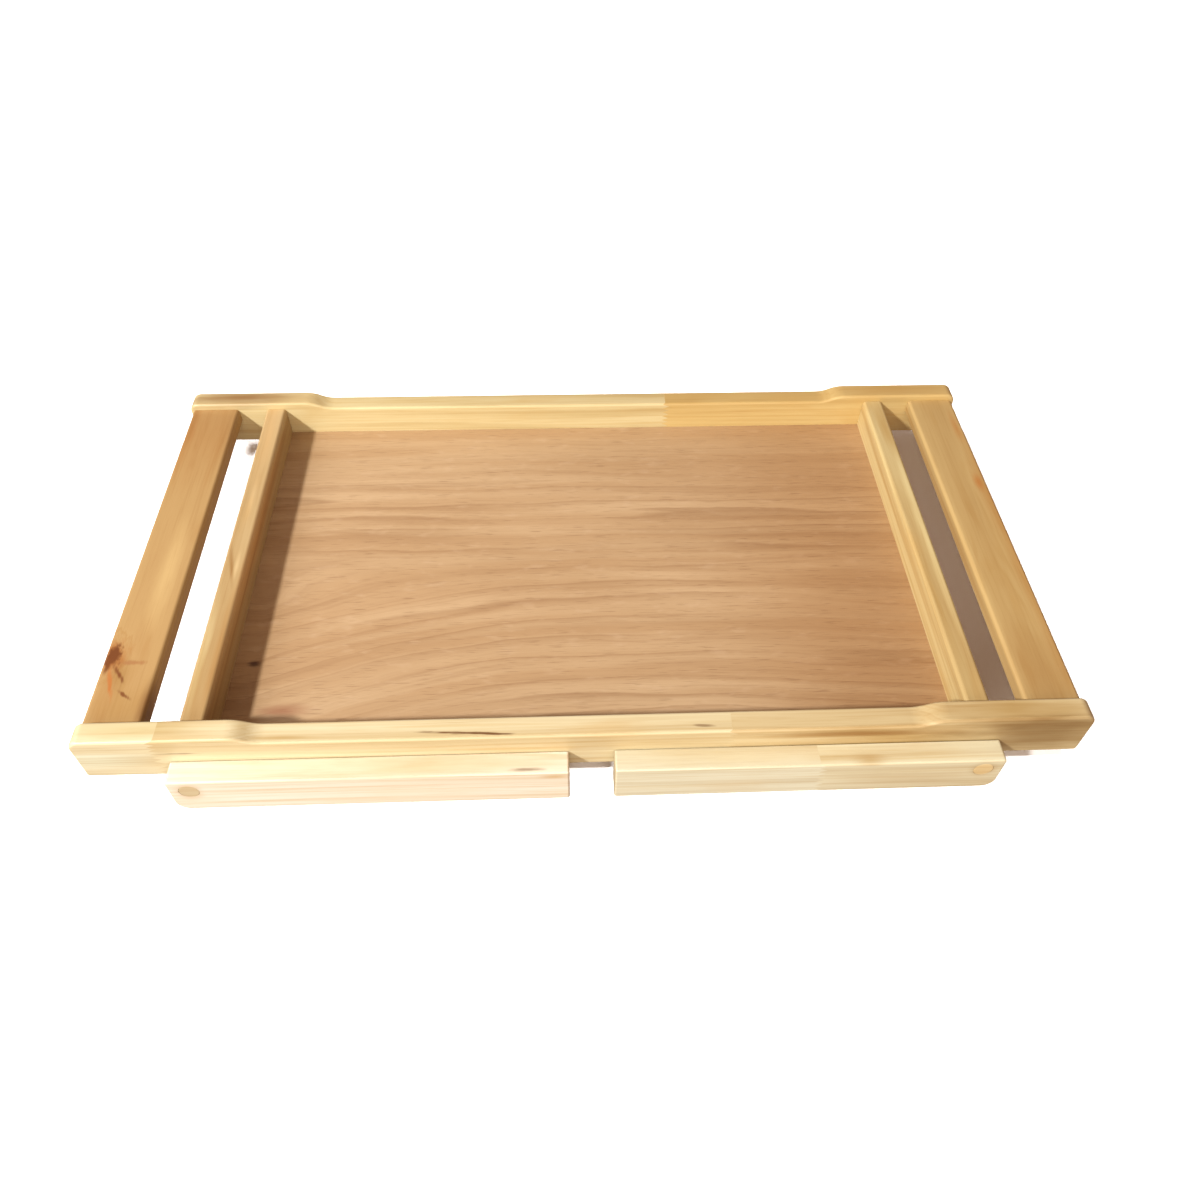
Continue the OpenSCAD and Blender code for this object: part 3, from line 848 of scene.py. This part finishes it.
cross_piece(
    -1,
    "left_handle_bar",
    "left_handle",
    "tray",
    wood(
        "left_handle_pine",
        along="Y",
        seed=17.3,
        middle=(-280, 40),
        pale=(0.42, 0.27, 0.11),
        dark=(0.30, 0.165, 0.055),
        warm=(0.35, 0.19, 0.06),
        lean=0.03,
        knots=((-93.0, -292.5, 45.0, 6.5),),
        marks=(
            ((-107.5, -285.0, 46.0), (8.5, 2.3, 5.0), KNOT_BROWN, 0.95, -0.65),
            ((-123.0, -278.0, 46.0), (5.0, 2.6, 5.0), KNOT_BROWN, 0.9, -1.1),
            ((-115.0, -288.5, 46.0), (17.0, 2.0, 5.0), (0.40, 0.13, 0.025), 0.8, -0.3),
            ((-99.0, -278.0, 46.0), (2.4, 11.0, 4.0), (0.30, 0.13, 0.045), 0.7, 0.0),
            ((-101.0, -293.0, 46.0), (8.0, 2.0, 5.0), KNOT_BROWN, 0.9, 0.1),
        ),
        shades=(
            ((-24.0, -275.5, 46.0), (68.0, 9.0, 10.0), (1.28, 1.40, 1.50), 0.8),
            ((-108.0, -285.0, 46.0), (20.0, 11.0, 8.0), (0.80, 0.72, 0.54), 0.8),
            ((115.0, -280.0, 42.0), (80.0, 30.0, 20.0), (0.86, 0.72, 0.60), 0.8),
            ((110.0, -294.0, 42.0), (60.0, 6.0, 12.0), (0.90, 0.62, 0.40), 0.6),
            ((-135.0, -280.0, 42.0), (26.0, 30.0, 20.0), (0.86, 0.80, 0.62), 0.7),
            # painted shadow in the inner corner at the near end
            ((-132.0, -263.0, 42.0), (26.0, 6.0, 20.0), (0.45, 0.32, 0.22), 0.8),
        ),
    ),
    handle_low,
    handle_high,
    handle_dowels(),
)
cross_piece(
    1,
    "right_handle_bar",
    "right_handle",
    "tray",
    wood(
        "right_handle_pine",
        along="Y",
        seed=21.6,
        middle=(280, 40),
        pale=(0.49, 0.345, 0.145),
        dark=(0.37, 0.225, 0.078),
        warm=(0.43, 0.26, 0.08),
        lean=-0.02,
        shades=(
            ((0.0, 297.0, 42.0), (220.0, 12.0, 14.0), (0.86, 0.66, 0.46), 0.9),
            # painted shade over the near end
            ((-125.0, 280.0, 42.0), (60.0, 30.0, 20.0), (0.78, 0.66, 0.55), 0.8),
            # painted highlight along the rounded inner edge
            ((0.0, 265.0, 46.0), (200.0, 3.0, 8.0), (1.15, 1.20, 1.25), 0.7),
            ((50.0, 291.0, 46.0), (12.0, 4.0, 8.0), (0.95, 0.60, 0.36), 0.8),
            ((112.0, 292.0, 46.0), (26.0, 5.0, 8.0), (0.92, 0.62, 0.38), 0.7),
        ),
    ),
    handle_low,
    handle_high,
    handle_dowels(),
)
paint(nodes["base_panel"], veneer("panel_veneer"))

# ---------------------------------------------------------------- the leg frames

ROD_TONES = {
    "pale": (0.52, 0.39, 0.21),
    "dark": (0.42, 0.27, 0.12),
    "pith": (3.0, -20.0),
    "middle": (0.0, 10.0),
}
rung_wood = wood("rung_wood", along="Y", seed=41.0, **ROD_TONES)
dowel_wood = wood("dowel_wood", along="Y", seed=44.0, **ROD_TONES)
plug_woods = {
    label: wood(label + "_plug_wood", seed=seed, pale=pale, dark=dark, spacing=1.8, lines=0.8)
    for label, seed, pale, dark in (
        ("left", 47.0, (0.57, 0.49, 0.32), (0.42, 0.33, 0.19)),
        ("right", 52.0, (0.68, 0.55, 0.30), (0.56, 0.42, 0.20)),
    )
}
screw_steel = steel("screw_steel")


def front_and_back(side, places, low, high, radius):
    """Rods at these (x, z) places on one side of the tray, at its front and again at its back."""
    ends = [span(low, high, side_y) for side_y in (-1, 1)]
    return [(side * x, z, *end, radius) for x, z in places for end in ends]


# the legs' pale pine, made paler and whiter as a painted highlight of their lit front faces, most on
# the left
LEG_TONES = {
    "left": {"pale": (0.80, 0.79, 0.70), "dark": (0.71, 0.64, 0.50), "warm": (0.75, 0.65, 0.49)},
    "right": {"pale": (0.68, 0.68, 0.54), "dark": (0.57, 0.53, 0.38), "warm": (0.62, 0.54, 0.36)},
}
# colour factors of a painted shade on each leg's top face
LEG_TOP_PAINTED_SHADE = {"left": (0.80, 0.67, 0.48), "right": (0.89, 0.78, 0.61)}
LEG_MARK = ((-38.0, -172.0, 30.0), (15.0, 1.5, 3.0), BROWN, 0.6, 0.0)


def leg_shades(side, side_y, label):
    """Colour patches of one leg: a painted shade along its top face, a dark ring round its plug, and
    darker patches at its ends.
    """
    y = side_y * 175.0
    # painted shade on the top face
    top = ((side * 130.0, side_y * 168.0, 31.5), (170.0, 14.0, 4.5), LEG_TOP_PAINTED_SHADE[label], 0.9)
    plug_ring = ((side * pivot_x, y, pivot_z), (11.0, 6.0, 11.0), (0.70, 0.54, 0.36), 0.85)
    if side < 0:
        return top, plug_ring, ((side * 22.0, y, 26.0), (14.0, 6.0, 3.2), (0.80, 0.60, 0.36), 0.8)
    near_end = ((side * 165.0, side_y * 172.0, 30.0), (14.0, 6.0, 5.0), (0.74, 0.58, 0.38), 0.7)
    low_end = ((side * 190.0, y, 14.0), (60.0, 8.0, 10.0), (0.82, 0.72, 0.60), 0.7)
    return top, plug_ring, near_end, low_end


for side, label, seed in ((-1, "left", 26.4), (1, "right", 31.8)):
    body = label + "_leg_frame"
    for side_y, end in ((-1, "front"), (1, "back")):
        leg_wood = wood(
            f"{label}_{end}_leg_pine",
            seed=seed + side_y,
            **LEG_TONES[label],
            middle=(side_y * 168, 15),
            pith=(side_y * 18.0, -52.0),
            joints=(140.0,) if side > 0 else (),
            tones=((0.98, 0.95, 0.89),) if side > 0 else (),
            shades=leg_shades(side, side_y, label),
            marks=(LEG_MARK,) if side < 0 and side_y < 0 else (),
        )
        leg(side, side_y, f"{label}_{end}_leg_board", f"{label}_{end}_leg", body, leg_wood)
    bar_wood = wood(
        label + "_stop_bar_pine",
        along="Y",
        seed=seed + 4.0,
        middle=(side * 217, 8),
        pith=(9.0, -44.0),
    )
    cross_piece(
        side,
        label + "_stop_bar_board",
        label + "_stop_bar",
        body,
        bar_wood,
        bar_low,
        bar_high,
        stop_bar_dowels(),
    )
    plug_range = plug_high[1] - PLUG_THICKNESS, plug_high[1]
    plugs = front_and_back(side, [(pivot_x, pivot_z)], *plug_range, plug_radius)
    plugs = turned(label + "_turned_plugs", plugs, PLUG_EASE)
    place_board(plugs, body, label + "_pivot_plugs", plug_woods[label])
    rod = (side * rung_x, rung_z, rung_low[1], rung_high[1], rung_radius)
    rung = turned(label + "_turned_rung", [rod], ROD_EASE)
    place_board(rung, body, label + "_foot_rung", rung_wood)
    for kind, rides_on, places, face in (
        ("_end_rail", "tray", end_rail_dowels(), rail_low[1]),
        ("_handle", "tray", handle_dowels(), rail_low[1]),
        ("_stop_bar", body, stop_bar_dowels(), leg_low[1]),
    ):
        reach = face - DOWEL_END + DOWEL_SHORT, face + DOWEL_FACE - DOWEL_SHORT
        pegs = front_and_back(side, places, *reach, DOWEL / 2 - GLUE)
        pegs = turned(label + kind + "_fluted_pegs", pegs, ROD_EASE, flutes=FLUTES)
        place_board(pegs, rides_on, label + kind + "_dowels", dowel_wood)
for name in ("pivot_screws", "pivot_washers"):
    paint(nodes[name], screw_steel)

# ---------------------------------------------------------------- floor and light

g = Graph("floor_paper")
cloud = g.grain(g.node("TexCoord").outputs["Object"], (3.0, 3.0, 3.0), 3.0)
g.put(g.shader.inputs["Base Color"], g.mix(cloud, (0.93, 0.93, 0.93), (0.95, 0.95, 0.945)))
g.put(g.shader.inputs["Roughness"], g.fit(cloud, 0.3, 0.7, 0.75, 0.85))
paper = g.material

FLOOR_REACH = 6.0
floors = bpy.data.collections.new("floors")
scene.collection.children.link(floors)
for side, label in ((-1, "left"), (1, "right")):
    # the paper is laid in two halves, left and right of the middle
    mesh = bmesh.new()
    near, far = -FLOOR_REACH, FLOOR_REACH
    rim = ((0.0, near), (0.0, far), (side * FLOOR_REACH, far), (side * FLOOR_REACH, near))
    mesh.faces.new([mesh.verts.new((x, y, 0.0)) for x, y in rim])
    bmesh.ops.recalc_face_normals(mesh, faces=mesh.faces)
    half = link(label + "_floor", mesh)
    floors.objects.link(half)
    paint(half, paper)
    half.visible_diffuse = False
    half.visible_glossy = False
    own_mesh(half)

world = bpy.data.worlds.new("studio")
scene.world = world
world.use_nodes = True
tree = world.node_tree
background = tree.nodes["Background"]
background.inputs["Color"].default_value = (1.0, 0.67, 0.49, 1.0)
background.inputs["Strength"].default_value = 0.36
# what is seen past the floor is pale, and doesn't tint the light
seen = tree.nodes.new("ShaderNodeBackground")
seen.inputs["Color"].default_value = (0.93, 0.93, 0.93, 1.0)
path = tree.nodes.new("ShaderNodeLightPath")
either = tree.nodes.new("ShaderNodeMixShader")
links = tree.links
links.new(path.outputs["Is Camera Ray"], either.inputs[0])
links.new(background.outputs[0], either.inputs[1])
links.new(seen.outputs[0], either.inputs[2])
links.new(either.outputs[0], tree.nodes["World Output"].inputs["Surface"])


WHITE, CENTRE = (1.0, 1.0, 1.0), (0.0, 0.0, 0.0)


def lamp(name, kind, energy, tint, place, target, size, only=None):
    """A light at a place, aimed at a target. A collection given as only is all that it lights.

    size is an area light's diameter, or the angle that a sun fills.
    """
    data = bpy.data.lights.new(name, kind)
    data.energy = energy
    data.color = tint
    if kind == "AREA":
        data.shape = "DISK"
        data.size = size
    else:
        data.angle = size
    made = bpy.data.objects.new(name, data)
    scene.collection.objects.link(made)
    made.location = place
    made.rotation_euler = (Vector(target) - Vector(place)).to_track_quat("-Z", "Y").to_euler()
    if only is not None:
        made.light_linking.receiver_collection = only


lamp("key", "AREA", 95.0, (1.0, 0.98, 0.95), (-1.62, -1.38, 1.70), (0.0, 0.0, 0.02), 0.22)
lamp("left_window", "AREA", 22.0, (1.0, 1.0, 1.03), (-1.82, 0.13, 1.17), CENTRE, 1.0)
lamp("front_fill", "AREA", 14.0, (1.0, 0.88, 0.76), (0.1, -1.6, 0.55), CENTRE, 1.2)
lamp("floor_top", "SUN", 3.0, WHITE, (0.0, -0.7, 2.0), CENTRE, math.radians(3), floors)
lamp("floor_left", "SUN", 3.0, WHITE, (-2.0, 0.0, 1.15), CENTRE, math.radians(6), floors)

scene.view_settings.view_transform = "Standard"
scene.view_settings.look = "None"
